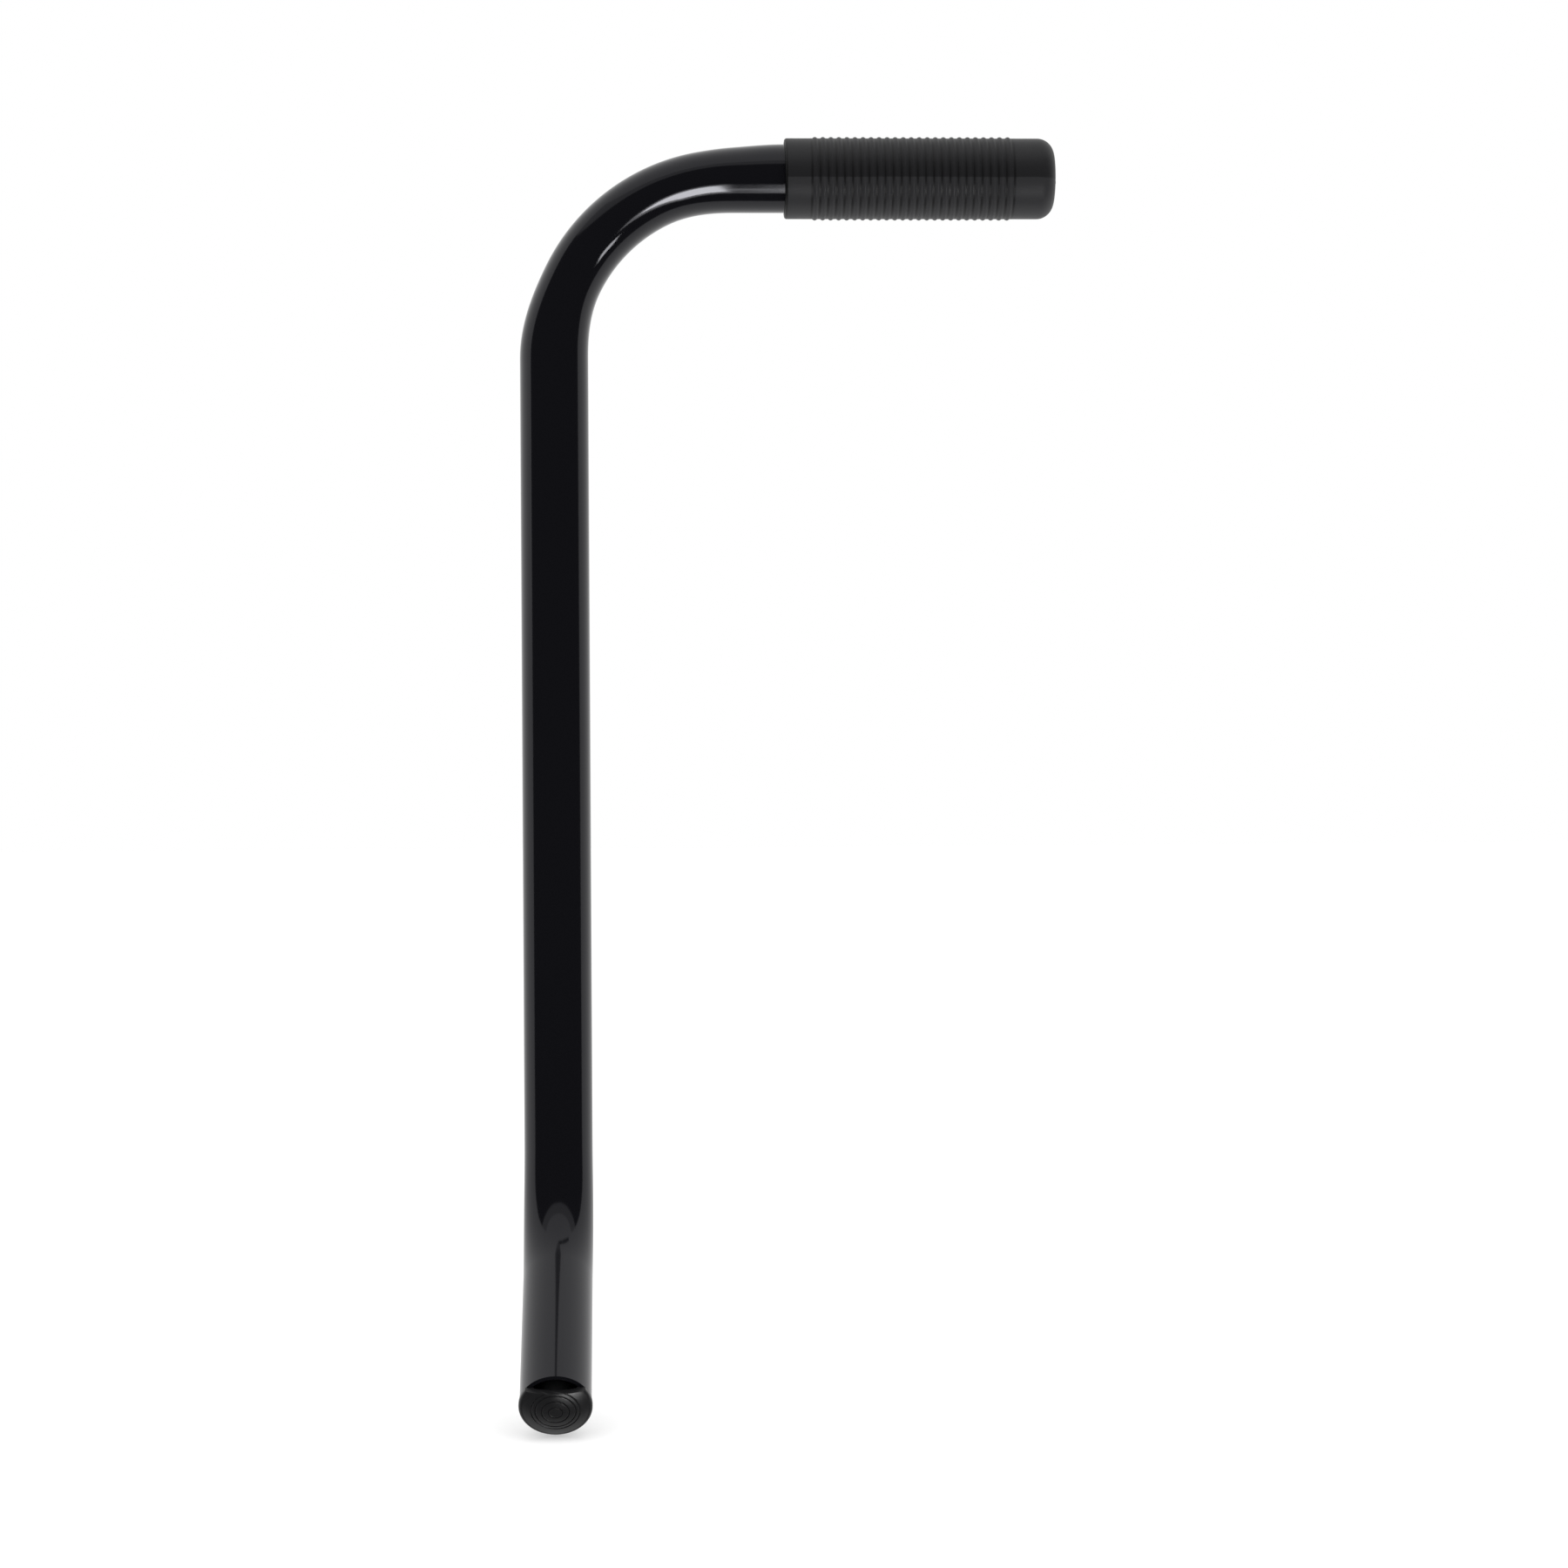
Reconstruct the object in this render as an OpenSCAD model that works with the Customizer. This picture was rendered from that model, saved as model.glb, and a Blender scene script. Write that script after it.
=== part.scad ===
// Bent tube walking-cane handle: one steel tube with two bends, a ribbed
// sleeve grip on its handle end and a push-in plug in its foot end.
// +Z is up along the shaft, the handle points along +X and the foot runs
// down towards -Y. The origin is the centre of the plug's flat crown.

/* [Tube] */
// Outer diameter of the tube
tube_d = 25.4; // [20:0.1:32]
// Wall thickness of the tube
tube_wall = 1.6; // [1:0.1:2.5]
// Straight length of the shaft between its two bends
shaft_len = 292; // [150:1:800]
// How much smaller the tube's radius is in its bends, where it is drawn
bend_thinning = 0.02; // [0.02:0.01:0.1]

/* [Handle end] */
// Radius of the upper bend, to the tube's centre line
handle_bend_r = 67; // [45:1:120]
// Distance from the end of the upper bend to the mouth of the grip
handle_gap = 19; // [5:1:60]

/* [Foot end] */
// Radius of the lower bend, to the tube's centre line
foot_bend_r = 57; // [45:1:120]
// How far the lower bend turns the tube away from the shaft, in degrees
foot_angle = 57; // [30:1:80]
// Straight length of tube between the lower bend and the plug
foot_len = 65; // [30:1:120]

/* [Grip] */
// Length of the grip, without the sprue mark on its end
grip_len = 101; // [60:1:160]
// Thickness of the grip's sleeve, under its ribs
grip_wall = 2.1; // [1.2:0.1:4]
// Thickness of the grip's closed end
grip_end_wall = 4; // [2:0.5:8]
// Rounding of the grip's closed end
grip_end_round = 5.5; // [3:0.5:10]
// Rounding of the rim at the grip's mouth
grip_rim_round = 0.5; // [0.2:0.1:0.8]
// Distance from one rib to the next
rib_pitch = 3; // [2:0.1:6]
// Height of a rib above the sleeve
rib_h = 0.5; // [0.2:0.1:1]
// Width of a rib where it meets the sleeve
rib_w = 1.8; // [1:0.1:1.9]
// Plain length between the grip's mouth and the middle of its first rib
plain_collar = 11.4; // [5:0.1:30]
// Least plain length between the last rib and the closed end
plain_end = 17; // [8:0.5:30]
// Diameter of the sprue mark on the closed end
sprue_d = 1.7; // [1:0.1:3]
// Height of the sprue mark
sprue_h = 0.7; // [0.3:0.1:1.5]
// How far the sprue mark sits below the handle's axis
sprue_drop = 1.3; // [0:0.1:4]

/* [Plug] */
// How far the plug's flange stands out past the tube all round
plug_lip = 0.3; // [0:0.1:1]
// Height of the plug's head, from the tube's end to its crown
plug_head_h = 4.75; // [4:0.05:7]
// Radius of the domed face
plug_dome_r = 32; // [28:1:90]
// Rounding between the domed face and the flange
plug_edge_round = 1.2; // [0.5:0.1:1.5]
// Wall thickness of the cored-out head
plug_wall = 2.2; // [0.8:0.1:2.4]
// Width of the seat that the head keeps on the tube's end
plug_seat_w = 2.3; // [1.5:0.1:3]
// Radius of the flat crown at the middle of the face
crown_r = 2.1; // [1.5:0.1:2.1]
// Radii of the grooves in the face
groove_radii = [2.4, 4.8, 7.1, 8.5];
// Width of a groove
groove_w = 0.5; // [0.3:0.1:0.5]
// Depth of a groove
groove_depth = 0.3; // [0.1:0.1:0.4]
// Depth of the opening cut straight across one side of the head, from its rim
opening_depth = 5.3; // [2:0.1:5.8]
// Outer radius of the plug's hollow stem
stem_r = 7; // [4:0.1:7]
// Wall thickness of the stem
stem_wall = 1.5; // [1:0.1:3]
// Length of the stem inside the tube
stem_len = 18; // [10:1:30]
// Number of fins round the stem
fin_count = 4; // [1:1:5]
// Distance from one fin to the next
fin_pitch = 3.6; // [2:0.1:5]
// Thickness of a fin at its root
fin_t = 1.2; // [0.6:0.1:2]

/* [Fits] */
// Gap between the tube and the inside of the grip
grip_clearance = 0.1; // [0.05:0.05:0.4]
// Gap between the tube's end and the grip's closed end
grip_end_gap = 1; // [0.2:0.1:3]
// Gap between the fins and the bore of the tube
fin_clearance = 0.1; // [0.05:0.05:0.4]

/* [Hidden] */
$fn = 64;

handle_turn = 90;
cut_over = 1;                       // how far a cutting shape passes the face it cuts
bend_overlap = 0.5;                 // how far a straight stretch runs into its bends
tube_r = tube_d / 2;
bore_r = tube_r - tube_wall;

grip_bore_r = tube_r + grip_clearance;
grip_r = grip_bore_r + grip_wall;
grip_bore_len = grip_len - grip_end_wall;
handle_len = handle_gap + grip_bore_len - grip_end_gap;
rib_count = 1 + floor((grip_len - plain_collar - plain_end) / rib_pitch);

plug_r = tube_r + plug_lip;
fin_r = bore_r - fin_clearance;
dome_centre_z = plug_head_h - sqrt(pow(plug_dome_r, 2) - pow(crown_r, 2));

// The shaft's foot, placed so that the crown of the plug is the origin
foot_run = foot_len + plug_head_h;
shaft_y = foot_run * sin(foot_angle) + foot_bend_r * (1 - cos(foot_angle));
shaft_z = foot_run * cos(foot_angle) + foot_bend_r * sin(foot_angle);

function dome_z(r) = dome_centre_z + sqrt(pow(plug_dome_r, 2) - pow(r, 2));

// The foot of the shaft, with its own +Z up the shaft
module at_shaft() {
    translate([0, shaft_y, shaft_z])
        children();
}

// The far end of a bend that leaves along +Z and turns towards +X
module past_bend(bend_r, turn) {
    translate([bend_r * (1 - cos(turn)), 0, bend_r * sin(turn)])
        rotate([0, turn, 0])
            children();
}

// The end of the upper bend, with its own +Z along the handle
module at_handle() {
    at_shaft()
        translate([0, 0, shaft_len])
            past_bend(handle_bend_r, handle_turn)
                children();
}

// The shaft's foot seen from above, with its own +Z down and +X towards the foot
module facing_down() {
    at_shaft()
        rotate([180, 0, -90])
            children();
}

// The end of the lower bend, with its own +Z towards the plug
module at_foot() {
    facing_down()
        past_bend(foot_bend_r, foot_angle)
            children();
}

// A round bar along a bend that leaves along +Z and turns towards +X
module bend_bar(bar_r, bend_r, turn) {
    translate([bend_r, 0, 0])
        rotate([90, 0, 0])
            rotate([0, 0, 180 - turn])
                rotate_extrude(angle = turn)
                    translate([bend_r, 0])
                        circle(r = bar_r);
}

// A round bar along +Z that starts inside the bend before it
module straight_bar(bar_r, length) {
    translate([0, 0, -bend_overlap])
        cylinder(r = bar_r, h = length + bend_overlap);
}

// A round bar along the tube's whole centre line, longer at both ends by extra
module centre_line_bar(bar_r, extra) {
    at_shaft() {
        straight_bar(bar_r, shaft_len + bend_overlap);
        translate([0, 0, shaft_len])
            bend_bar(bar_r - bend_thinning, handle_bend_r, handle_turn);
    }
    facing_down()
        bend_bar(bar_r - bend_thinning, foot_bend_r, foot_angle);
    at_handle()
        straight_bar(bar_r, handle_len + extra);
    at_foot()
        straight_bar(bar_r, foot_len + extra);
}

module shaft_tube() {
    color([0.02, 0.02, 0.022])
        difference() {
            centre_line_bar(tube_r, 0);
            centre_line_bar(bore_r, cut_over);
        }
}

// Half of the grip's outline, turned round +Z: the sleeve with a rounded rim
// at its mouth and a rounded closed end
module grip_outline() {
    difference() {
        union() {
            translate([0, grip_rim_round])
                square([grip_r, grip_len - grip_rim_round - grip_end_round]);
            square([grip_r - grip_rim_round, grip_rim_round]);
            translate([0, grip_len - grip_end_round])
                square([grip_r - grip_end_round, grip_end_round]);
            translate([grip_r - grip_rim_round, grip_rim_round])
                circle(r = grip_rim_round);
            translate([grip_r - grip_end_round, grip_len - grip_end_round])
                circle(r = grip_end_round);
        }
        translate([0, -cut_over])
            square([grip_bore_r, grip_bore_len + cut_over]);
    }
}

// The section of one rib: an arc rib_w wide that stands rib_h proud
module rib_outline() {
    arc_r = (pow(rib_w / 2, 2) + pow(rib_h, 2)) / (2 * rib_h);
    intersection() {
        translate([grip_r + rib_h - arc_r, 0])
            circle(r = arc_r);
        translate([grip_r - grip_wall / 2, -rib_w])
            square([grip_wall, 2 * rib_w]);
    }
}

module hand_grip() {
    color([0.05, 0.05, 0.053])
        at_handle()
            translate([0, 0, handle_gap])
                union() {
                    rotate_extrude()
                        union() {
                            grip_outline();
                            for (i = [0 : 1 : rib_count - 1])
                                translate([0, plain_collar + i * rib_pitch])
                                    rib_outline();
                        }
                    translate([sprue_drop, 0, grip_len - grip_end_wall / 2])
                        cylinder(d = sprue_d, h = grip_end_wall / 2 + sprue_h);
                }
}

// Half of a dome's outline, its top cut off at the height of the crown
module dome_outline(dome_r, reach) {
    intersection() {
        square([reach, plug_head_h]);
        translate([0, dome_centre_z])
            circle(r = dome_r, $fn = 360);
    }
}

// Half of the head's outline, turned round +Z: a flange, a rounded edge and a
// dome, all of it outside the tube and cored out from below
module head_outline() {
    edge_z = dome_z(plug_r - plug_edge_round) - plug_edge_round;
    difference() {
        intersection() {
            square([plug_r, plug_head_h]);
            union() {
                square([plug_r, max(edge_z, plug_wall)]);
                translate([plug_r - plug_edge_round, edge_z])
                    circle(r = plug_edge_round);
                dome_outline(plug_dome_r, plug_r - plug_edge_round);
            }
        }
        translate([0, -cut_over])
            square([plug_r - plug_seat_w, cut_over + plug_lip]);
        dome_outline(plug_dome_r - plug_wall, plug_r - plug_seat_w);
        for (r = groove_radii)
            translate([r - groove_w / 2, dome_z(r) - groove_depth])
                square([groove_w, plug_head_h]);
    }
}

// Half of the stem's outline: a hollow stem up to the dome, with fins that
// taper outwards
module stem_outline() {
    translate([stem_r - stem_wall, -stem_len])
        square([stem_wall, stem_len + dome_z(stem_r) - plug_wall / 2]);
    for (i = [0 : 1 : fin_count - 1])
        translate([stem_r, -fin_pitch * (i + 1)])
            polygon([
                [-stem_wall / 2, -fin_t],
                [0, -fin_t],
                [fin_r - stem_r, 0],
                [-stem_wall / 2, 0]
            ]);
}

// The block that opens one side of the head
module side_opening() {
    translate([plug_r - opening_depth, -plug_r - cut_over, -cut_over])
        cube([plug_r, 2 * (plug_r + cut_over), plug_head_h + 2 * cut_over]);
}

module foot_plug() {
    color([0.035, 0.035, 0.038])
        at_foot()
            translate([0, 0, foot_len])
                difference() {
                    rotate_extrude()
                        union() {
                            head_outline();
                            stem_outline();
                        }
                    side_opening();
                }
}

shaft_tube();
hand_grip();
foot_plug();
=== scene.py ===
# %% [markdown]
# # A bent tube cane handle
# The object is one steel tube with two bends, a ribbed vinyl sleeve on its
# handle end and a domed plastic plug in its foot end. The CAD model gives the
# main sizes and the frame: +Z runs up the shaft, the handle points along +X,
# the foot runs towards -Y, and the origin is the crown of the plug. This lesson
# remakes the three pieces with the shape and finish that CAD leaves out.

# %% Load the frame
import math
import bmesh
import bpy
from mathutils import Matrix, Vector


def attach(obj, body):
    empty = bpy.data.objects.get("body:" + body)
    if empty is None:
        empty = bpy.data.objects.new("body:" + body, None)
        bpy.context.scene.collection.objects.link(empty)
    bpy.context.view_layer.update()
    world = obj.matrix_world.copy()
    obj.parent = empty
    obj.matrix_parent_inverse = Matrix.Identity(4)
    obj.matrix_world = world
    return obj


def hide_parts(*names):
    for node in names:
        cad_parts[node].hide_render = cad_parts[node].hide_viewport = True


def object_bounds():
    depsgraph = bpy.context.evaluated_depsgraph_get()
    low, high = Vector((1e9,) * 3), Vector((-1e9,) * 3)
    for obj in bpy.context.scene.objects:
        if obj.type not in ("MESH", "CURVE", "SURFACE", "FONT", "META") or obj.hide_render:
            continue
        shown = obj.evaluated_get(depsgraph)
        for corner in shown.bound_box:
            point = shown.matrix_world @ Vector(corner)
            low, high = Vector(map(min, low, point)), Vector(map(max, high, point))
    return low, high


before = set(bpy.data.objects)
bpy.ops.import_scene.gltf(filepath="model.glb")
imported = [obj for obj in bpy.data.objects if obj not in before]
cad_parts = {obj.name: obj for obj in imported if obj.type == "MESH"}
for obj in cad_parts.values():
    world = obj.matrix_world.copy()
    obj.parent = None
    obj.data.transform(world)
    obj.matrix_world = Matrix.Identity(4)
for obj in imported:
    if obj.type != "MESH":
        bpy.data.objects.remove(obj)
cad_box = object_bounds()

MM = 0.001
print("CAD box", [tuple(round(v, 4) for v in corner) for corner in cad_box])

# %% [markdown]
# ## Measures
# Every size in the next cell is the CAD model's own, in metres. They are copied,
# so a change to the CAD has to be made here as well. The places of the bends are
# worked out from them in the same way as the CAD does it.

# %% Sizes taken from the CAD
TUBE_R = 12.7 * MM
TUBE_WALL = 1.6 * MM
SHAFT_LEN = 292 * MM
HANDLE_BEND_R = 67 * MM
HANDLE_GAP = 19 * MM
FOOT_BEND_R = 57 * MM
FOOT_TURN = math.radians(57)
FOOT_LEN = 65 * MM
GRIP_LEN = 101 * MM
GRIP_END_WALL = 4 * MM
GRIP_END_GAP = 1 * MM
PLUG_HEAD_H = 4.75 * MM
HANDLE_LEN = HANDLE_GAP + GRIP_LEN - GRIP_END_WALL - GRIP_END_GAP
print("straight part of the handle", round(HANDLE_LEN, 4))

# %% Places along the tube
foot_run = FOOT_LEN + PLUG_HEAD_H
shaft_y = foot_run * math.sin(FOOT_TURN) + FOOT_BEND_R * (1 - math.cos(FOOT_TURN))
shaft_z = foot_run * math.cos(FOOT_TURN) + FOOT_BEND_R * math.sin(FOOT_TURN)
shaft_foot = Vector((0, shaft_y, shaft_z))
shaft_top = shaft_foot + Vector((0, 0, SHAFT_LEN))
handle_start = shaft_top + Vector((HANDLE_BEND_R, 0, HANDLE_BEND_R))
foot_dir = Vector((0, -math.sin(FOOT_TURN), -math.cos(FOOT_TURN)))
tube_end = -foot_dir * PLUG_HEAD_H
print("handle axis height", round(handle_start.z, 4), "shaft at y", round(shaft_y, 4))

# %% [markdown]
# ## Node helpers
# Geometry and shading are both node trees. Most nodes are added by one function
# that names the node's type, its settings and its sockets. For sums, a socket
# is wrapped in a small class with + - * /, so that a formula is written as a
# formula; each operation in it adds one Math node.


# %% Add a node, feed a socket, add an object
def feed(tree, socket, value):
    """Gives a socket a link if value comes from a node, or else the value."""
    if isinstance(value, Num):
        tree.links.new(value.socket, socket)
    elif isinstance(value, bpy.types.NodeSocket):
        tree.links.new(value, socket)
    else:
        socket.default_value = value


def add_node(tree, kind, settings=None, sockets=None):
    node = tree.nodes.new(kind)
    for name, value in (settings or {}).items():
        setattr(node, name, value)
    for name, value in (sockets or {}).items():
        feed(tree, node.inputs[name], value)
    return node


def add_object(name, data):
    thing = bpy.data.objects.new(name, data)
    bpy.context.scene.collection.objects.link(thing)
    return thing


print("node helpers ready")


# %% Sums of numbers and of vectors
def maths(tree, operation, *values):
    node = add_node(tree, "ShaderNodeMath", {"operation": operation})
    for socket, value in zip(node.inputs, values):
        feed(tree, socket, value)
    return Num(tree, node.outputs[0])


def vector_maths(tree, operation, *values, out="Vector"):
    node = add_node(tree, "ShaderNodeVectorMath", {"operation": operation})
    vectors = [s for s in node.inputs if s.name != "Scale"]
    for socket, value in zip(vectors, values):
        feed(tree, socket, value)
    return node.outputs[out]


def scaled(tree, vector, factor):
    settings = {"operation": "SCALE"}
    sockets = {0: vector, "Scale": factor}
    return add_node(tree, "ShaderNodeVectorMath", settings, sockets).outputs["Vector"]


print("sum helpers ready")


# %% A number that writes its own Math nodes
class Num:
    """A number on a node link. A sum with it adds a Math node."""

    def __init__(self, tree, socket):
        self.tree = tree
        self.socket = socket

    def __add__(self, other):
        return maths(self.tree, "ADD", self, other)

    def __radd__(self, other):
        return maths(self.tree, "ADD", other, self)

    def __sub__(self, other):
        return maths(self.tree, "SUBTRACT", self, other)

    def __rsub__(self, other):
        return maths(self.tree, "SUBTRACT", other, self)

    def __mul__(self, other):
        return maths(self.tree, "MULTIPLY", self, other)

    def __rmul__(self, other):
        return maths(self.tree, "MULTIPLY", other, self)

    def __truediv__(self, other):
        return maths(self.tree, "DIVIDE", self, other)

    def __neg__(self):
        return maths(self.tree, "MULTIPLY", self, -1.0)

    def above(self, limit):
        return maths(self.tree, "GREATER_THAN", self, limit)

    def below(self, limit):
        return maths(self.tree, "LESS_THAN", self, limit)

    def clamped(self):
        return maths(self.tree, "MINIMUM", maths(self.tree, "MAXIMUM", self, 0.0), 1.0)


def step_up(value, start, end):
    """0 below start, 1 above end and a straight ramp between."""
    return ((value - start) / (end - start)).clamped()


print("number class ready")

# %% [markdown]
# ## Materials
# All three finishes are opaque and nearly black, and what tells them apart is
# how sharply they mirror. Each is one Principled shader with a few uniform
# numbers. An image texture could be wrapped round it instead, but noise in the
# object's own space needs no unwrapping and has no seam. It only touches colour,
# roughness and bump.


# %% Start a material and add its wear
def new_material(name, colour, ior):
    material = bpy.data.materials.new(name)
    material.use_nodes = True
    tree = material.node_tree
    shader = next(n for n in tree.nodes if n.type == "BSDF_PRINCIPLED")
    shader.inputs["Base Color"].default_value = (*colour, 1)
    shader.inputs["IOR"].default_value = ior
    return material, tree, shader


def object_place(tree):
    """The place on the object, in the row frame."""
    return add_node(tree, "ShaderNodeTexCoord").outputs["Object"]


def noise(tree, place, scale, detail=2.0):
    sockets = {"Vector": place, "Scale": scale, "Detail": detail}
    return Num(tree, add_node(tree, "ShaderNodeTexNoise", None, sockets).outputs[0])


def vary_roughness(tree, shader, place, least, added, scale, detail):
    """Roughness from least up to least + added, in blotches."""
    blotches = noise(tree, place, scale, detail)
    feed(tree, shader.inputs["Roughness"], least + added * blotches)


def add_grain(tree, shader, place, scale, depth, strength):
    height = noise(tree, place, scale)
    sockets = {"Height": height, "Distance": depth, "Strength": strength}
    node = add_node(tree, "ShaderNodeBump", None, sockets)
    tree.links.new(node.outputs[0], shader.inputs["Normal"])


print("material helpers ready")

# %% [markdown]
# ## The coat
# The tube has a gloss black coat with the faint ripple that powder leaves. It
# mirrors sharply, so its roughness is low. A slow noise dulls it a little in
# places and a finer one bends the mirror image very slightly.

# %% Gloss black coat
COAT_COLOUR = (0.0044, 0.0044, 0.0056)
COAT_MIRROR_TINT = (0.94, 0.94, 1.0, 1)
coat, tree, shader = new_material("gloss_black_coat", COAT_COLOUR, ior=1.37)
shader.inputs["Specular Tint"].default_value = COAT_MIRROR_TINT
place = object_place(tree)
vary_roughness(tree, shader, place, least=0.085, added=0.04, scale=35.0, detail=4.0)
add_grain(tree, shader, place, scale=260.0, depth=0.02 * MM, strength=0.25)
print("coat nodes", len(tree.nodes))

# %% [markdown]
# ## The vinyl
# The sleeve is satin vinyl from a mould in two halves, which meet in a parting
# line along its side. Below that line its colour is painted a shade paler: a
# painted sheen, standing in for the lamp's broad highlight that the lower half
# catches. The line could be cut into the mesh, but a ramp on height, shaken by a
# little noise, gives it for any mesh. In the same way a ramp on length darkens
# the valleys between the ribs and the edge of the mouth, where little light gets
# in.

# %% Two tones that meet at the parting line, the lower one a painted sheen
MIX_SHARE, MIX_FIRST, MIX_SECOND = 0, 6, 7
MIX_RESULT = 2


def mix_colours(tree, share, first, second):
    """The colour first where share is 0, and second where it is 1."""
    sockets = {MIX_SHARE: share, MIX_FIRST: first, MIX_SECOND: second}
    node = add_node(tree, "ShaderNodeMix", {"data_type": "RGBA"}, sockets)
    return node.outputs[MIX_RESULT]


VINYL_UPPER = (0.0120, 0.0120, 0.0134, 1)
# the lower tone is a painted sheen: paler where the lower half catches the lamp's broad
# highlight
VINYL_LOWER_PAINTED_SHEEN = (0.0235, 0.0235, 0.0255, 1)
PARTING_Z = handle_start.z - 1.7 * MM
PARTING_SOFT = 0.1 * MM
PARTING_SHAKE = 0.6 * MM
PARTING_SHAKE_SCALE = 40.0
vinyl, tree, shader = new_material("grip_vinyl", VINYL_UPPER[:3], ior=1.34)
place = object_place(tree)
apart = add_node(tree, "ShaderNodeSeparateXYZ", None, {"Vector": place})
wander = PARTING_SHAKE * (noise(tree, place, PARTING_SHAKE_SCALE) - 0.5)
shaken_z = Num(tree, apart.outputs["Z"]) + wander
below_line = 1.0 - step_up(shaken_z, PARTING_Z - PARTING_SOFT, PARTING_Z + PARTING_SOFT)
# below the parting line the colour turns to the painted sheen
tone_and_painted_sheen = mix_colours(tree, below_line, VINYL_UPPER, VINYL_LOWER_PAINTED_SHEEN)
print("parting line at height", round(PARTING_Z, 4))

# %% Shade between the ribs and at the mouth
RIB_PITCH = 3.0 * MM
FIRST_RIB = 11.4 * MM
RIB_COUNT = 25
LAST_RIB = FIRST_RIB + (RIB_COUNT - 1) * RIB_PITCH
MOUTH_X = handle_start.x + HANDLE_GAP
SHADE_COLOUR = (0.004, 0.004, 0.0045, 1)
VALLEY_SHADE = 0.8
VALLEY_RAMP = (0.06, 0.2)  # pitches from a valley: the shade fades, then is gone
MOUTH_RAMP = (0.6 * MM, 1.1 * MM)
along_grip = Num(tree, apart.outputs["X"])
rib_phase = maths(tree, "FRACT", (along_grip - (MOUTH_X + FIRST_RIB)) / RIB_PITCH)
in_valley = 1.0 - step_up(maths(tree, "ABSOLUTE", rib_phase - 0.5), *VALLEY_RAMP)
past_first = along_grip.above(MOUTH_X + FIRST_RIB - RIB_PITCH)
before_last = along_grip.below(MOUTH_X + LAST_RIB + RIB_PITCH)
at_mouth = 1.0 - step_up(along_grip, MOUTH_X + MOUTH_RAMP[0], MOUTH_X + MOUTH_RAMP[1])
valley = in_valley * (past_first * before_last) * VALLEY_SHADE
shade = maths(tree, "MAXIMUM", valley, at_mouth)
shaded = mix_colours(tree, shade, tone_and_painted_sheen, SHADE_COLOUR)
feed(tree, shader.inputs["Base Color"], shaded)
print("ribs run from", round(FIRST_RIB, 4), "to", round(LAST_RIB, 4), "past the mouth")

# %% Satin sheen and grain of the vinyl
vary_roughness(tree, shader, place, least=0.42, added=0.12, scale=90.0, detail=3.0)
add_grain(tree, shader, place, scale=2600.0, depth=0.06 * MM, strength=0.35)
print("vinyl nodes", len(tree.nodes))

# %% [markdown]
# ## The plastic
# The plug is a half-matte moulded plastic. It sits between the two others: a
# mirror image in it is broad and soft, but still there.

# %% Half-matte moulded plastic
PLASTIC_COLOUR = (0.0102, 0.0102, 0.0110)
plastic, tree, shader = new_material("plug_plastic", PLASTIC_COLOUR, ior=1.33)
place = object_place(tree)
vary_roughness(tree, shader, place, least=0.27, added=0.12, scale=180.0, detail=3.0)
add_grain(tree, shader, place, scale=2200.0, depth=0.04 * MM, strength=0.3)
print("plastic nodes", len(tree.nodes))

# %% [markdown]
# ## Turning a tree into a piece
# A piece starts as a bare line of points. Its Geometry Nodes tree turns the
# line into a skin. The result is then frozen into a plain mesh, and its faces
# are turned outwards.

# %% Start a tree and end it
SOCKET_KINDS = {float: "NodeSocketFloat", int: "NodeSocketInt"}


def new_tree(name, values):
    tree = bpy.data.node_groups.new(name, "GeometryNodeTree")
    face = tree.interface
    face.new_socket("Geometry", in_out="INPUT", socket_type="NodeSocketGeometry")
    for label, value in values.items():
        kind = SOCKET_KINDS[type(value)]
        face.new_socket(label, in_out="INPUT", socket_type=kind)
    face.new_socket("Geometry", in_out="OUTPUT", socket_type="NodeSocketGeometry")
    given = tree.nodes.new("NodeGroupInput")
    return tree, {s.name: s for s in given.outputs}


def merged(tree, geometry, distance):
    """The geometry with points closer than distance made one."""
    sockets = {"Geometry": geometry, "Distance": distance}
    return add_node(tree, "GeometryNodeMergeByDistance", None, sockets).outputs[0]


def end_tree(tree, geometry, material):
    real = add_node(tree, "GeometryNodeRealizeInstances", None, {"Geometry": geometry})
    sockets = {"Geometry": real.outputs[0], "Material": material}
    dressed = add_node(tree, "GeometryNodeSetMaterial", None, sockets)
    result = tree.nodes.new("NodeGroupOutput")
    tree.links.new(dressed.outputs[0], result.inputs[0])


print("tree helpers ready")


# %% Lay a line of points and run a tree on it
def line_object(name, points, attributes=None):
    mesh = bpy.data.meshes.new(name)
    edges = [(i, i + 1) for i in range(len(points) - 1)]
    mesh.from_pydata([tuple(p) for p in points], edges, [])
    for label, (kind, values) in (attributes or {}).items():
        layer = mesh.attributes.new(label, kind, "POINT")
        for item, value in zip(layer.data, values):
            if kind == "FLOAT":
                item.value = value
            else:
                item.vector = value
    return add_object(name, mesh)


def run_tree(thing, tree, values):
    modifier = thing.modifiers.new("shape", "NODES")
    modifier.node_group = tree
    for item in tree.interface.items_tree:
        if item.in_out == "INPUT" and item.name in values:
            modifier[item.identifier] = values[item.name]


print("line helpers ready")

# %% Freeze the result and smooth it
WELD = 0.002 * MM
SLIVER = 0.001 * MM


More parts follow.
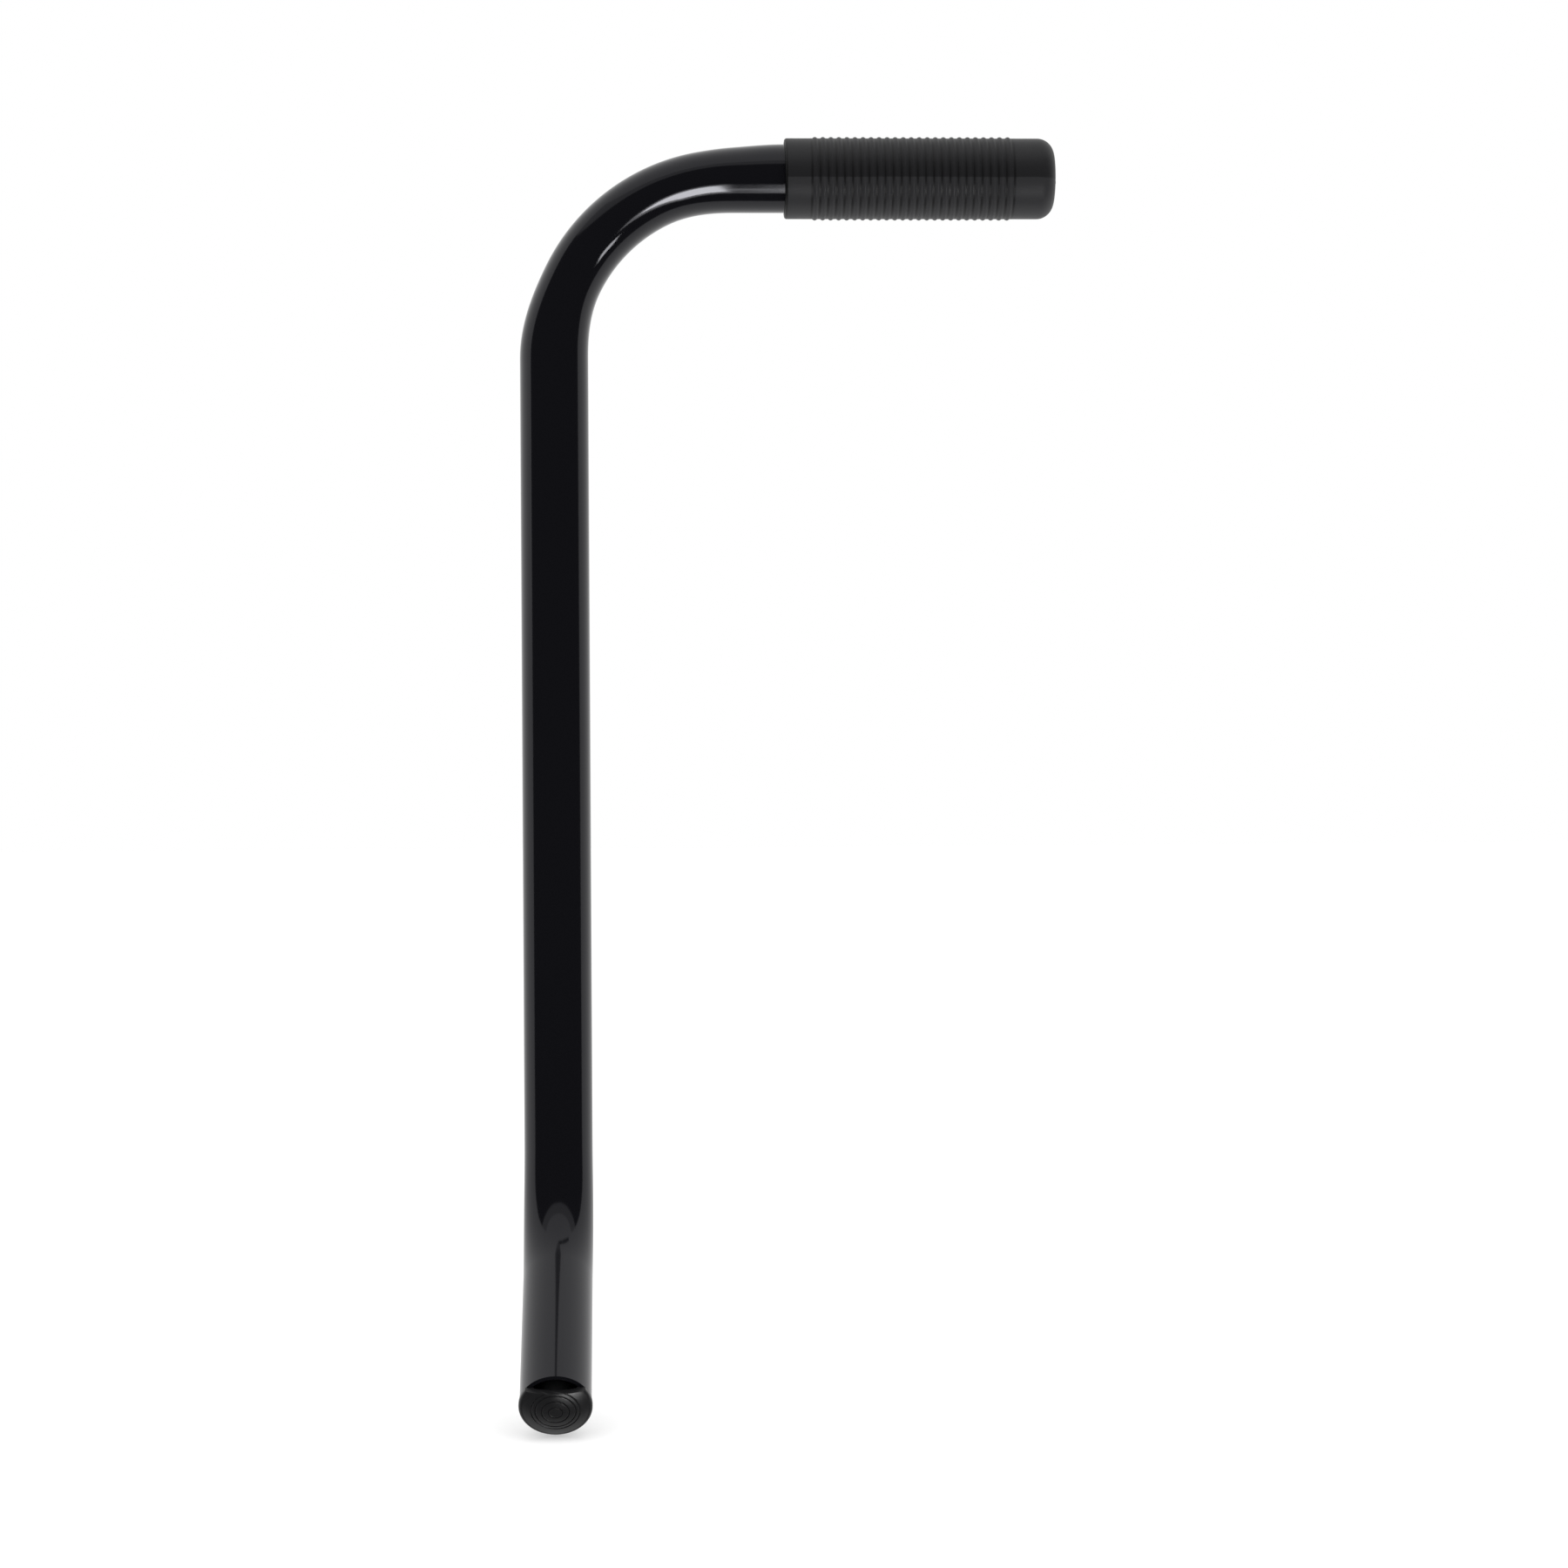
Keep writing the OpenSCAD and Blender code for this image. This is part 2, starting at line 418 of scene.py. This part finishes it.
def freeze(thing, placing=None):
    """Replaces the object's line and modifiers with the mesh they make."""
    bpy.context.view_layer.update()
    graph = bpy.context.evaluated_depsgraph_get()
    made = bpy.data.meshes.new_from_object(thing.evaluated_get(graph))
    thing.modifiers.clear()
    thing.data = made
    made.name = thing.name
    work = bmesh.new()
    work.from_mesh(made)
    bmesh.ops.remove_doubles(work, verts=work.verts, dist=WELD)
    bmesh.ops.dissolve_degenerate(work, edges=work.edges, dist=SLIVER)
    bmesh.ops.recalc_face_normals(work, faces=work.faces)
    open_edges = sum(1 for e in work.edges if len(e.link_faces) != 2)
    work.to_mesh(made)
    work.free()
    if placing is not None:
        made.transform(placing)
    print(thing.name, "faces", len(made.polygons), "open edges", open_edges)


def smooth(thing, degrees=40):
    """Smooth shading, with an edge kept sharp where it turns by more."""
    for face in thing.data.polygons:
        face.use_smooth = True
    thing.data.set_sharp_from_angle(angle=math.radians(degrees))


print("points closer than", WELD, "become one")

# %% [markdown]
# ## The tube
# The real tube is steel pipe pulled round a former. A pipe bent cold goes oval:
# its outer wall is drawn in, its inner wall is pushed in rather less and it
# grows a little wider across. The upper bend's outer wall also stays drawn in a
# short way past the bend's end. A bevelled curve would stay round, so the tube
# is a circle swept along its centre line and then squeezed by a formula. Each
# point of the line carries its own place, the way to the bend's centre, how far
# the pipe is flattened there and how far its outer wall is drawn in.

# %% Straight stretches and bends of the centre line
BEND_STEPS = 56
STRAIGHT_STEPS = 10
RAMP = math.radians(26)  # how far into a bend the squeeze grows to its full


def ease(x):
    x = min(max(x, 0.0), 1.0)
    return x * x * (3 - 2 * x)


def add_straight(line, start, end, inward):
    for i in range(1, STRAIGHT_STEPS + 1):
        line.append((start.lerp(end, i / STRAIGHT_STEPS), inward, 0.0, 0.0))


def add_bend(line, start, heading, inward, radius, turn, amount, past=0.0):
    for i in range(1, BEND_STEPS + 1):
        angle = turn * i / BEND_STEPS
        away = inward * (1 - math.cos(angle)) + heading * math.sin(angle)
        to_centre = inward * math.cos(angle) - heading * math.sin(angle)
        flat = ease(angle / RAMP) * ease((turn - angle) / RAMP) * amount
        drawn = ease(angle / RAMP) * ease((turn + past - angle) / RAMP) * amount
        line.append((start + away * radius, to_centre, flat, drawn))


print("a bend has", BEND_STEPS, "steps, a straight has", STRAIGHT_STEPS)

# %% The foot and the shaft
LOWER_FLATTENING = 0.45
up = Vector((0, 0, 1))
forward = Vector((1, 0, 0))
to_front = Vector((0, -1, 0))
foot_inward = Vector((0, -math.cos(FOOT_TURN), math.sin(FOOT_TURN)))
lower = [(shaft_foot, to_front, 0.0, 0.0)]
add_bend(lower, shaft_foot, -up, to_front, FOOT_BEND_R, FOOT_TURN, LOWER_FLATTENING)
add_straight(lower, lower[-1][0].copy(), tube_end, foot_inward)
line = lower[::-1]
add_straight(line, shaft_foot, shaft_top, forward)
print("centre line points from the plug to the shaft's top", len(line))

# %% The upper bend and the handle
UPPER_FLATTENING = 1.0
HANDLE_TURN = math.pi / 2
DRAWN_PAST = math.radians(16)  # how far past the bend its outer wall recovers
bend = (shaft_top, up, forward, HANDLE_BEND_R, HANDLE_TURN, UPPER_FLATTENING, DRAWN_PAST)
add_bend(line, *bend)
recover_len = HANDLE_BEND_R * DRAWN_PAST
for i in range(1, STRAIGHT_STEPS + 1):
    share = i / STRAIGHT_STEPS
    drawn = ease(DRAWN_PAST * (1 - share) / RAMP) * UPPER_FLATTENING
    line.append((handle_start + forward * recover_len * share, -up, 0.0, drawn))
recovered = line[-1][0].copy()
handle_end = handle_start + forward * HANDLE_LEN
add_straight(line, recovered, handle_end, -up)
print("centre line points", len(line), "from", tube_end[:], "to", handle_end[:])

# %% Sweep a circle along the line
tube_values = {
    "Radius": TUBE_R,
    "Wall": TUBE_WALL,
    "Outer pull": 0.14,
    "Inner pull": 0.09,
    "Widening": 0.03,
    "Sides": 96,
}
tree, given = new_tree("bent_tube", tube_values)
rail = add_node(tree, "GeometryNodeMeshToCurve", None, {"Mesh": given["Geometry"]})
sockets = {"Resolution": given["Sides"], "Radius": given["Radius"]}
ring = add_node(tree, "GeometryNodeCurvePrimitiveCircle", {"mode": "RADIUS"}, sockets)
sweep = {"Curve": rail.outputs[0], "Profile Curve": ring.outputs["Curve"]}
skin = add_node(tree, "GeometryNodeCurveToMesh", None, sweep).outputs[0]
print("swept ring has", tube_values["Sides"], "sides")


# %% Squeeze the rings in the bends
def named(tree, label, kind):
    settings = {"data_type": kind}
    node = add_node(tree, "GeometryNodeInputNamedAttribute", settings, {"Name": label})
    return node.outputs["Attribute"]


def moved(tree, geometry, offset):
    sockets = {"Geometry": geometry, "Offset": offset}
    return add_node(tree, "GeometryNodeSetPosition", None, sockets).outputs[0]


here = add_node(tree, "GeometryNodeInputPosition").outputs[0]
centre = named(tree, "centre", "FLOAT_VECTOR")
inward = named(tree, "inward", "FLOAT_VECTOR")
flatten = Num(tree, named(tree, "flatten", "FLOAT"))
drawn = Num(tree, named(tree, "drawn", "FLOAT"))
out = vector_maths(tree, "SUBTRACT", here, centre)
depth = Num(tree, vector_maths(tree, "DOT_PRODUCT", out, inward, out="Value"))
along = scaled(tree, inward, depth)
across = vector_maths(tree, "SUBTRACT", out, along)
inner_side = depth.above(0.0)
inner_pull = inner_side * given["Inner pull"] * flatten
outer_pull = (1.0 - inner_side) * given["Outer pull"] * drawn
squeeze = scaled(tree, along, -(inner_pull + outer_pull))
widen = scaled(tree, across, flatten * given["Widening"])
outer = moved(tree, skin, vector_maths(tree, "ADD", squeeze, widen))
print("nodes up to the squeezed skin", len(tree.nodes))

# %% Give the tube its wall
SINGLE_FACE = 1.5  # an edge with fewer faces than this is on an open end
RIM_WELD = 0.03 * MM
to_axis = vector_maths(tree, "NORMALIZE", vector_maths(tree, "SUBTRACT", centre, here))
wall_step = scaled(tree, to_axis, given["Wall"])
bore = moved(tree, outer, wall_step)
neighbours = Num(tree, add_node(tree, "GeometryNodeInputMeshEdgeNeighbors").outputs[0])
is_rim = neighbours.below(SINGLE_FACE)
sockets = {"Mesh": outer, "Selection": is_rim, "Offset": wall_step, "Offset Scale": 1.0}
rimmed = add_node(tree, "GeometryNodeExtrudeMesh", {"mode": "EDGES"}, sockets).outputs[0]
both = tree.nodes.new("GeometryNodeJoinGeometry")
tree.links.new(rimmed, both.inputs[0])
tree.links.new(bore, both.inputs[0])
end_tree(tree, merged(tree, both.outputs[0], RIM_WELD), coat)
print("tube tree nodes", len(tree.nodes))

# %% Make the tube
places, inwards, flats, draws = zip(*line)
attributes = {
    "centre": ("FLOAT_VECTOR", places),
    "inward": ("FLOAT_VECTOR", inwards),
    "flatten": ("FLOAT", flats),
    "drawn": ("FLOAT", draws),
}
tube = line_object("tube", places, attributes)
run_tree(tube, tree, tube_values)
freeze(tube)
smooth(tube)
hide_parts("shaft_tube")
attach(tube, "root")

# %% [markdown]
# ## The lathe
# The sleeve and the plug are both round about one axis, so both are made as if
# turned on a lathe. A grid is wrapped into a full turn: one side of the grid
# counts along the outline and the other counts round the axis. A rib is a small
# swelling that repeats at a fixed pitch, so it is added by formula and not
# drawn into the outline.

# %% Read an outline row by row
lathe_values = {
    "Sides": 96,
    "Rib height": 0.5 * MM,
    "Rib width": 1.8 * MM,
    "Rib pitch": RIB_PITCH,
    "First rib": FIRST_RIB,
    "Last rib": LAST_RIB,
    "Skin radius": 14.9 * MM,
}


def outline_grid(tree, given):
    """A grid with a row for each point of the outline and a column for each
    side and one more, and each grid point's column and row."""
    settings = {"component": "MESH"}
    points = add_node(tree, "GeometryNodeAttributeDomainSize", settings, {0: given["Geometry"]})
    count = Num(tree, points.outputs["Point Count"])
    sockets = {"Vertices X": Num(tree, given["Sides"]) + 1.0, "Vertices Y": count}
    grid = add_node(tree, "GeometryNodeMeshGrid", None, sockets).outputs["Mesh"]
    index = Num(tree, add_node(tree, "GeometryNodeInputIndex").outputs[0])
    column = maths(tree, "FLOOR", (index + 0.5) / count)
    row = maths(tree, "ROUND", index - column * count)
    return grid, column, row


def outline_point(tree, given, row):
    """The radius and the height of the outline's point in a row."""
    sockets = {"Geometry": given["Geometry"], "Index": row}
    settings = {"data_type": "FLOAT_VECTOR"}
    picked = add_node(tree, "GeometryNodeSampleIndex", settings, sockets)
    value_in = next(s for s in picked.inputs if s.name == "Value" and s.enabled)
    value_out = next(s for s in picked.outputs if s.enabled)
    tree.links.new(add_node(tree, "GeometryNodeInputPosition").outputs[0], value_in)
    parts = add_node(tree, "ShaderNodeSeparateXYZ", None, {"Vector": value_out})
    return Num(tree, parts.outputs["X"]), Num(tree, parts.outputs["Z"])


print("last rib", round(LAST_RIB, 4), "past the mouth")

# %% Swell the ribs and wrap the grid
SKIN_SLACK = 0.01 * MM


def rib_swell(tree, given, radius, height):
    """How far a rib lifts the skin: a parabola across each rib, and nothing
    off the ribs or inside the skin."""
    pitch = Num(tree, given["Rib pitch"])
    first = Num(tree, given["First rib"])
    last = Num(tree, given["Last rib"])
    off_rib = (maths(tree, "FRACT", (height - first) / pitch + 0.5) - 0.5) * pitch
    share = off_rib / (Num(tree, given["Rib width"]) / 2.0)
    swell = maths(tree, "MAXIMUM", 1.0 - share * share, 0.0) * given["Rib height"]
    in_range = height.above(first - pitch / 2.0) * height.below(last + pitch / 2.0)
    outside = radius.above(Num(tree, given["Skin radius"]) - SKIN_SLACK)
    return swell * in_range * outside


def lathe_tree(name, material):
    tree, given = new_tree(name, lathe_values)
    grid, column, row = outline_grid(tree, given)
    radius, height = outline_point(tree, given, row)
    full = radius + rib_swell(tree, given, radius, height)
    angle = column * (2 * math.pi) / Num(tree, given["Sides"])
    x = full * maths(tree, "COSINE", angle)
    y = full * maths(tree, "SINE", angle)
    spot = add_node(tree, "ShaderNodeCombineXYZ", None, {"X": x, "Y": y, "Z": height})
    sockets = {"Geometry": grid, "Position": spot.outputs[0]}
    wrapped = add_node(tree, "GeometryNodeSetPosition", None, sockets).outputs[0]
    end_tree(tree, merged(tree, wrapped, WELD), material)
    return tree


print("lathe ready")


# %% Draw arcs and place what the lathe made
def arc(centre_r, centre_z, radius, start, end, steps):
    """Points of an outline on an arc, angles in degrees from outwards to up."""
    found = []
    for i in range(steps + 1):
        a = math.radians(start + (end - start) * i / steps)
        r = centre_r + radius * math.cos(a)
        found.append((max(r, 0.0), centre_z + radius * math.sin(a)))
    return found


def outline_object(name, outline):
    return line_object(name, [(r, 0, z) for r, z in outline])


def frame_at(origin, axis, side):
    """A placing whose Z is axis and whose X is side."""
    third = axis.cross(side)
    turned = Matrix((side, third, axis)).transposed().to_4x4()
    return Matrix.Translation(origin) @ turned


print("outline helpers ready")

# %% [markdown]
# ## The grip
# The sleeve slides over the handle end. Its mouth has a small rounded rim and
# a plain collar, then come twenty-five ribs, then a plain end with a generous
# round corner and a barely domed face. Its two round edges are larger here than
# the CAD's. Its bore is cut deep enough that the tube's end sits inside it.

# %% Outline of the grip
GRIP_R = 14.9 * MM
GRIP_BORE_R = 12.8 * MM
RIM_R = 0.9 * MM
RIM_STEPS = 5
CORNER_R = 6.2 * MM
CORNER_STEPS = 16
END_DOME = 0.35 * MM
END_STEPS = 6
RIB_STEP = 0.25 * MM
grip_outline = [(0.0, GRIP_LEN)]
face_r = GRIP_R - CORNER_R
for i in range(1, END_STEPS):
    share = i / END_STEPS
    grip_outline.append((face_r * share, GRIP_LEN - END_DOME * share * share))
corner_z = GRIP_LEN - END_DOME - CORNER_R
grip_outline += arc(face_r, corner_z, CORNER_R, 90, 0, CORNER_STEPS)
z = corner_z - RIB_STEP
while z > RIM_R:
    grip_outline.append((GRIP_R, z))
    z -= RIB_STEP
grip_outline += arc(GRIP_R - RIM_R, RIM_R, RIM_R, 0, -90, RIM_STEPS)
grip_outline += arc(GRIP_BORE_R + RIM_R, RIM_R, RIM_R, 270, 180, RIM_STEPS)
bore_end = GRIP_LEN - GRIP_END_WALL
grip_outline += [(GRIP_BORE_R, bore_end), (0.0, bore_end)]
print("grip outline points", len(grip_outline))

# %% Make the grip
GRIP_SHARP = 50
grip = outline_object("grip", grip_outline)
run_tree(grip, lathe_tree("grip_lathe", vinyl), lathe_values)
mouth = handle_start + forward * HANDLE_GAP
freeze(grip, frame_at(mouth, forward, -up))
smooth(grip, GRIP_SHARP)
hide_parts("hand_grip")
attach(grip, "root")

# %% [markdown]
# ## The sprue mark
# The vinyl was let into the mould at the closed end. Where it was cut off, a
# small rounded pip is left just below the axis. It could be joined to the grip,
# but as its own little lathe piece that sinks into the end face it needs no cut.

# %% Make the pip
PIP_R = 0.85 * MM
PIP_H = 0.7 * MM
PIP_DROP = 1.3 * MM
PIP_ROOT = 1.2 * MM
PIP_EDGE = 0.3 * MM
PIP_EDGE_STEPS = 5
PIP_SINK = 0.05 * MM
plain_values = lathe_values | {"Rib height": 0.0, "Sides": 32}
pip_outline = [(0.0, PIP_H)]
pip_outline += arc(PIP_R - PIP_EDGE, PIP_H - PIP_EDGE, PIP_EDGE, 90, 0, PIP_EDGE_STEPS)
pip_outline += [(PIP_R, -PIP_ROOT), (0.0, -PIP_ROOT)]
pip = outline_object("grip_pip", pip_outline)
run_tree(pip, lathe_tree("pip_lathe", vinyl), plain_values)
pip_place = mouth + forward * (GRIP_LEN - PIP_SINK) - up * PIP_DROP
freeze(pip, frame_at(pip_place, forward, -up))
smooth(pip)
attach(pip, "root")

# %% [markdown]
# ## The plug
# The plug is moulded with a cored head: a dome on a low flange, and a hollow
# stem that goes up the tube. The CAD's stem also has fins that reach nearly to
# the bore. They are left out here, as the tube hides them. Four rings are cut in
# the dome. On the side that faces up, the head is open, cut straight across, so
# one looks past the dome's edge into the shade of the tube's end. The rings go
# into the lathe's outline. Only the opening, which isn't round, needs a boolean.

# %% The dome and its rings
PLUG_R = 13.0 * MM
DOME_R = 32 * MM
CROWN_R = 2.1 * MM
HEAD_WALL = 2.2 * MM
GROOVES = (2.4 * MM, 4.8 * MM, 7.1 * MM, 8.5 * MM)
GROOVE_W = 0.5 * MM
GROOVE_DEPTH = 0.3 * MM
dome_z0 = PLUG_HEAD_H - math.sqrt(DOME_R ** 2 - CROWN_R ** 2)


def dome(r, radius=DOME_R):
    return min(PLUG_HEAD_H, dome_z0 + math.sqrt(radius ** 2 - r ** 2))


def core(r):
    """The height of the dome's inside."""
    return dome(r, DOME_R - HEAD_WALL)


def grooved(r):
    """The dome's height with its rings cut in, each ring round-bottomed."""
    cut = 0.0
    for middle in GROOVES:
        share = (r - middle) / (GROOVE_W / 2)
        if abs(share) < 1:
            cut = GROOVE_DEPTH * math.cos(share * math.pi / 2)
    return dome(r) - cut


print("dome height at its middle and its edge", round(dome(0.0), 5), round(dome(PLUG_R), 5))

# %% Outline of the head and the stem
EDGE_R = 1.2 * MM
EDGE_START = 88
EDGE_STEPS = 10
FLANGE_CHAMFER = 0.15 * MM
SEAT_W = 2.3 * MM
STEM_R = 7 * MM
STEM_WALL = 1.5 * MM
STEM_LEN = 18 * MM
FACE_STEP = 0.08 * MM
CORE_STEPS = 10
core_r = PLUG_R - SEAT_W
stem_bore_r = STEM_R - STEM_WALL
head = []
r = 0.0
while r < PLUG_R - EDGE_R:
    head.append((r, grooved(r)))
    r += FACE_STEP
edge_z = dome(PLUG_R - EDGE_R) - EDGE_R
head += arc(PLUG_R - EDGE_R, edge_z, EDGE_R, EDGE_START, 0, EDGE_STEPS)
head += [(PLUG_R, FLANGE_CHAMFER), (PLUG_R - FLANGE_CHAMFER, 0.0), (core_r, 0.0)]
for i in range(CORE_STEPS + 1):
    r = STEM_R + (core_r - STEM_R) * (1 - i / CORE_STEPS)
    head.append((r, core(r)))
head += [(STEM_R, -STEM_LEN), (stem_bore_r, -STEM_LEN)]
head += [(stem_bore_r, core(stem_bore_r)), (0.0, core(0.0))]
print("plug outline points", len(head))

# %% Turn the plug
PLUG_SIDES = 128
plug_piece = outline_object("plug", head)
run_tree(plug_piece, lathe_tree("plug_lathe", plastic), plain_values | {"Sides": PLUG_SIDES})
freeze(plug_piece)

# %% A block that cuts its side open
OPENING_AT = 7.7 * MM
BLOCK = 30 * MM
BLOCK_DROP = 1 * MM
cutter_mesh = bpy.data.meshes.new("cutter")
work = bmesh.new()
bmesh.ops.create_cube(work, size=1.0)
work.to_mesh(cutter_mesh)
work.free()
cutter_mesh.materials.append(plastic)
cutter_mesh.transform(Matrix.Diagonal((BLOCK, BLOCK, BLOCK, 1)))
block_middle = (OPENING_AT + BLOCK / 2, 0, BLOCK / 2 - BLOCK_DROP)
cutter_mesh.transform(Matrix.Translation(block_middle))
cutter = add_object("cutter", cutter_mesh)
print("the head is cut off past", OPENING_AT, "on the side that faces up")

# %% Cut the plug open, round the cut and place the plug
RIDGE_ROUND = 0.22 * MM
RIDGE_SEGMENTS = 3
RIDGE_ANGLE = math.radians(52)
PLUG_SHARP = 48
opening = plug_piece.modifiers.new("opening", "BOOLEAN")
opening.operation = "DIFFERENCE"
opening.solver = "EXACT"
opening.object = cutter
rounding = plug_piece.modifiers.new("rounding", "BEVEL")
rounding.width = RIDGE_ROUND
rounding.segments = RIDGE_SEGMENTS
rounding.limit_method = "ANGLE"
rounding.angle_limit = RIDGE_ANGLE
freeze(plug_piece, frame_at(tube_end, foot_dir, foot_inward))
bpy.data.objects.remove(cutter)
smooth(plug_piece, PLUG_SHARP)
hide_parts("foot_plug")
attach(plug_piece, "root")

# %% [markdown]
# ## Surroundings and floor
# Gloss black shows little but what it mirrors, so the studio matters more than
# the coat. All round is white, as in a plain white studio. The floor is plain and
# pale. It glows a little, so that it melts into the white, and mirror rays
# don't see it.

# %% White surroundings
WHITE = (1, 1, 1)
world = bpy.data.worlds.new("studio")
bpy.context.scene.world = world
world.use_nodes = True
backing = next(n for n in world.node_tree.nodes if n.type == "BACKGROUND")
backing.inputs["Color"].default_value = (*WHITE, 1)
backing.inputs["Strength"].default_value = 1.0
print("surroundings", world.name)

# %% A pale floor
FLOOR_REACH = 12.0
FLOOR_COLOUR = (0.7, 0.7, 0.7)
FLOOR_IOR = 1.38
FLOOR_ROUGHNESS = 0.9
FLOOR_GLOW = 0.38
floor_z = cad_box[0].z
floor_mesh = bpy.data.meshes.new("floor")
corner_signs = [(-1, -1), (1, -1), (1, 1), (-1, 1)]
corners = [(x * FLOOR_REACH, y * FLOOR_REACH, floor_z) for x, y in corner_signs]
floor_mesh.from_pydata(corners, [], [(0, 1, 2, 3)])
floor = add_object("floor", floor_mesh)
floor_paint, tree, shader = new_material("pale_floor", FLOOR_COLOUR, FLOOR_IOR)
shader.inputs["Roughness"].default_value = FLOOR_ROUGHNESS
shader.inputs["Specular IOR Level"].default_value = 0.0
shader.inputs["Emission Color"].default_value = (*WHITE, 1)
shader.inputs["Emission Strength"].default_value = FLOOR_GLOW
floor_mesh.materials.append(floor_paint)
floor.visible_glossy = False
print("floor at height", round(floor_z, 4))

# %% [markdown]
# ## What the coat mirrors
# In front stands a wide dark screen that only mirror rays can see. It keeps the
# middle of the tube black and leaves pale bands along both its sides, where the
# white shows past it. Its top is paler. A soft lamp low on the right, with a
# weaker glow round it and another on its left, draws the highlight on the upper
# bend, and a small lamp further right draws the short one. Area lights could do
# this too, but a glowing patch of a far sphere is placed by two angles alone,
# which makes it easier to foresee where its mirror image falls.


# %% A glowing material and a patch of sky
def glowing(name, colour, strength):
    material = bpy.data.materials.new(name)
    material.use_nodes = True
    tree = material.node_tree
    tree.nodes.clear()
    sockets = {"Color": (*colour, 1), "Strength": strength}
    glow = add_node(tree, "ShaderNodeEmission", None, sockets)
    end = tree.nodes.new("ShaderNodeOutputMaterial")
    tree.links.new(glow.outputs[0], end.inputs["Surface"])
    return material


YAW = math.radians(2.4)
SKY_MIDDLE = Vector((0.05, 0.06, 0.22))
SKY_STEPS = 48
look = Vector((math.sin(YAW), math.cos(YAW), 0))
right = Vector((math.cos(YAW), -math.sin(YAW), 0))


def sky_patch(name, azimuths, elevations, distance, material, steps=SKY_STEPS):
    """A patch of a far sphere round the object, seen by mirror rays only.
    Azimuth 0 is towards the camera and grows to the right."""
    corners = []
    for i in range(steps + 1):
        a = math.radians(azimuths[0] + (azimuths[1] - azimuths[0]) * i / steps)
        for j in range(steps + 1):
            e = math.radians(elevations[0] + (elevations[1] - elevations[0]) * j / steps)
            flat = right * math.sin(a) - look * math.cos(a)
            corners.append(SKY_MIDDLE + (flat * math.cos(e) + up * math.sin(e)) * distance)
    row = steps + 1
    faces = []
    for i in range(steps):
        for j in range(steps):
            k = i * row + j
            faces.append((k, k + row, k + row + 1, k + 1))
    mesh = bpy.data.meshes.new(name)
    mesh.from_pydata([tuple(c) for c in corners], [], faces)
    mesh.materials.append(material)
    patch = add_object(name, mesh)
    patch.visible_camera = False
    patch.visible_diffuse = False
    patch.visible_shadow = False
    patch.visible_transmission = False


print("camera looks along", [round(v, 3) for v in look])

# %% Dark screen and bright lamps
GLOWS = {
    "screen_black": ((0.9, 0.9, 1.0), 0.03),
    "screen_edge": (WHITE, 0.62),
    "lamp_glow": (WHITE, 24.0),
    "lamp_edge": (WHITE, 4.0),
    "lamp_spill": (WHITE, 3.4),
    "side_glow": (WHITE, 15.0),
}
SCREEN_WIDTH = (-82.6, 90.5)
PATCHES = {
    "screen": (SCREEN_WIDTH, (-88, 45), 4.0, "screen_black"),
    "screen_top": (SCREEN_WIDTH, (45, 57), 4.0, "screen_edge"),
    "lamp_spill": ((-1, 9), (-47, -40), 3.94, "lamp_spill"),
    "lamp_edge": ((6, 42), (-57, -25), 3.92, "lamp_edge"),
    "lamp_face": ((9, 35), (-51, -29), 3.9, "lamp_glow"),
    "side_lamp": ((55, 65), (-31, -22), 3.9, "side_glow"),
}
glows = {name: glowing(name, *look_of) for name, look_of in GLOWS.items()}
for name, (azimuths, elevations, distance, glow) in PATCHES.items():
    sky_patch(name, azimuths, elevations, distance, glows[glow])
print("patches for mirror rays", list(PATCHES))

# %% [markdown]
# ## Soft light from above
# The matte pieces need some light that isn't only a mirror image. One large
# soft lamp overhead gives it, and mirror rays don't see it.

# %% A soft lamp from above
LAMP_POWER = 6
LAMP_SIZE = 1.6
LAMP_PLACE = (0.1, 0.0, 1.6)
lamp_data = bpy.data.lights.new("top_soft", "AREA")
lamp_data.energy = LAMP_POWER
lamp_data.size = LAMP_SIZE
lamp = add_object("top_soft", lamp_data)
lamp.location = LAMP_PLACE
lamp.visible_glossy = False
print("lamp at", LAMP_PLACE)

# %% [markdown]
# ## Camera
# A long lens stands well back and about level with the middle of the shaft,
# turned a little so that the handle runs slightly away from it. It is rolled by
# a third of a degree, which leans the shaft to the left at its top.

# %% Camera
LENS = 85
SENSOR_WIDTH = 36
CLIP_END = 60
DISTANCE = 1.377
ASIDE = 0.0846
EYE_HEIGHT = 0.2191
ROLL = math.radians(0.33)
stand = Vector((0, shaft_y, EYE_HEIGHT)) + right * ASIDE - look * DISTANCE
rolled_right = right * math.cos(ROLL) - up * math.sin(ROLL)
rolled_up = up * math.cos(ROLL) + right * math.sin(ROLL)
camera_data = bpy.data.cameras.new("camera")
camera_data.lens = LENS
camera_data.sensor_width = SENSOR_WIDTH
camera_data.clip_end = CLIP_END
camera = add_object("camera", camera_data)
turned = Matrix((rolled_right, rolled_up, -look)).transposed().to_4x4()
camera.matrix_world = Matrix.Translation(stand) @ turned
bpy.context.scene.camera = camera
bpy.context.scene.view_settings.view_transform = "Standard"
print("camera at", [round(v, 3) for v in stand])
